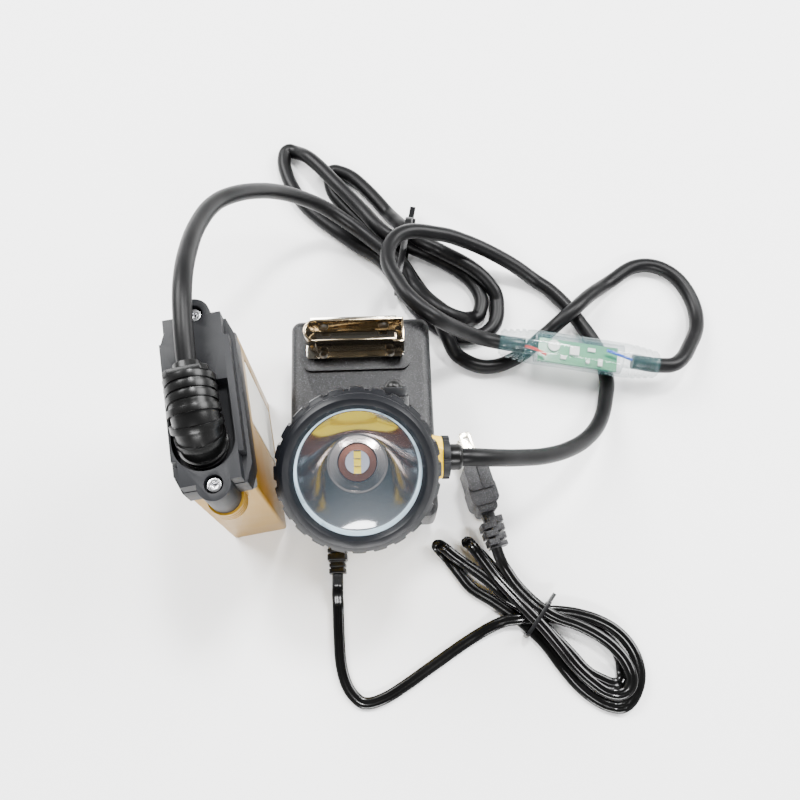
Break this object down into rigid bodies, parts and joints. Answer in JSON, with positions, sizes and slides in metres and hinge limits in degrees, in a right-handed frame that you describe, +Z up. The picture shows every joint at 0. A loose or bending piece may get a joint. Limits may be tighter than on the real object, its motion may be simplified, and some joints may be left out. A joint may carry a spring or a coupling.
{
  "type": "miner's cap lamp set",
  "caption": "Miner's cap lamp: yellow battery pack, corded headpiece docked on a charger, clear in-line rear light, mains lead with plug.",
  "frame": {"origin": "On the table, at the centre of the box around the battery pack, charger and headpiece.", "axes": "+Z up, +Y away from the viewer, +X to the viewer's right. The headpiece lies on the charger, tilted towards the viewer."},
  "size_m": [0.2672, 0.3168, 0.1293],
  "materials": {
    "yellow_case": "satin gold-yellow metallic lacquer",
    "label_plate": "blank satin label",
    "seal_rubber": "dull black rubber",
    "cap_plastic": "fine-textured black moulding",
    "screw_steel": "bright machine screws",
    "cell_wrap": "blue shrink wrap",
    "inner_plastic": "plain black moulding",
    "circuit_board": "green solder mask",
    "boot_rubber": "satin black rubber",
    "charger_plastic": "black moulding with a fine sparkle texture",
    "foot_rubber": "dull grey rubber",
    "transformer_core": "varnished core and tape",
    "keeper_steel": "polished spring steel",
    "rivet_steel": "plated rivets",
    "contact_brass": "plated contact pins",
    "bezel_plastic": "satin black-grey moulding",
    "lens_glass": "clear toughened glass",
    "seal_clear": "translucent silicone",
    "reflector_mirror": "vacuum-metallised reflector",
    "copper_ring": "copper-brown lacquer",
    "led_white": "white board",
    "led_yellow": "yellow phosphor",
    "sink_aluminium": "turned aluminium",
    "housing_yellow": "satin yellow moulding",
    "clear_moulding": "clear polycarbonate",
    "parts_white": "surface parts",
    "wire_blue": "insulated wires",
    "cable_jacket": "satin black cable jacket",
    "tie_nylon": "black nylon",
    "lead_pvc": "glossy black flat lead",
    "plug_plastic": "textured black plug moulding",
    "blade_brass": "plated blades"
  },
  "bodies": {
    "set": {"battery_case": "yellow_case", "case_labels": "label_plate", "battery_seal": "seal_rubber", "battery_cap": "cap_plastic", "cap_screws": "screw_steel", "cell_near": "cell_wrap", "cell_middle": "cell_wrap", "cell_far": "cell_wrap", "cell_cradle": "inner_plastic", "protection_board": "circuit_board", "cable_boot": "boot_rubber", "boot_flange": "boot_rubber", "charger_base": "charger_plastic", "charger_cover": "charger_plastic", "charger_feet": "foot_rubber", "charger_screws": "screw_steel", "charger_board": "circuit_board", "transformer": "transformer_core", "mains_relief": "boot_rubber", "keeper_plate": "keeper_steel", "keeper_band": "keeper_steel", "keeper_rivets": "rivet_steel", "dock_saddle": "charger_plastic", "bezel_ring": "bezel_plastic", "lens_glass": "lens_glass", "lens_seal": "seal_clear", "reflector": "reflector_mirror", "reflector_neck": "reflector_mirror", "copper_ring": "copper_ring", "led_board": "led_white", "led_chips": "led_yellow", "heat_sink": "sink_aluminium", "driver_board": "circuit_board", "head_housing": "housing_yellow", "housing_seal": "seal_rubber", "head_gland": "cap_plastic", "gland_collar": "boot_rubber", "switch_collar": "cap_plastic", "switch_body": "inner_plastic", "helmet_hook": "screw_steel", "hook_rivets": "rivet_steel", "light_body": "clear_moulding", "light_board": "circuit_board", "light_parts": "parts_white", "light_wires": "wire_blue", "main_cable_rear": "cable_jacket", "main_cable_front": "cable_jacket", "cable_tie": "tie_nylon", "mains_lead": "lead_pvc", "mains_tail": "lead_pvc", "mains_hank": "lead_pvc", "hank_tie": "tie_nylon", "plug_body": "plug_plastic", "plug_relief": "plug_plastic", "plug_blades": "blade_brass"},
    "keeper_arm": {"keeper_arm": "keeper_steel"},
    "button": {"switch_button": "boot_rubber"},
    "contact_left": {"contact_left": "contact_brass"},
    "contact_right": {"contact_right": "contact_brass"}
  },
  "joints": [
    {"name": "keeper_squeeze", "type": "hinge", "parent": "set", "child": "keeper_arm", "pos_m": [-0.0049, 0.04144, 0.048], "axis": [0, 0, 1], "range_deg": [0, 6], "stiffness_Nm_per_rad": 0.5},
    {"name": "button_press", "type": "slide", "parent": "set", "child": "button", "axis": [0.0319, -0.913, -0.4067], "range_m": [0, 0.0015], "stiffness_N_per_m": 300},
    {"name": "contact_left_press", "type": "slide", "parent": "set", "child": "contact_left", "axis": [-0.0665, 0.4041, -0.9123], "range_m": [0, 0.0012], "stiffness_N_per_m": 200},
    {"name": "contact_right_press", "type": "slide", "parent": "set", "child": "contact_right", "axis": [-0.0665, 0.4041, -0.9123], "range_m": [0, 0.0012], "stiffness_N_per_m": 200}
  ]
}
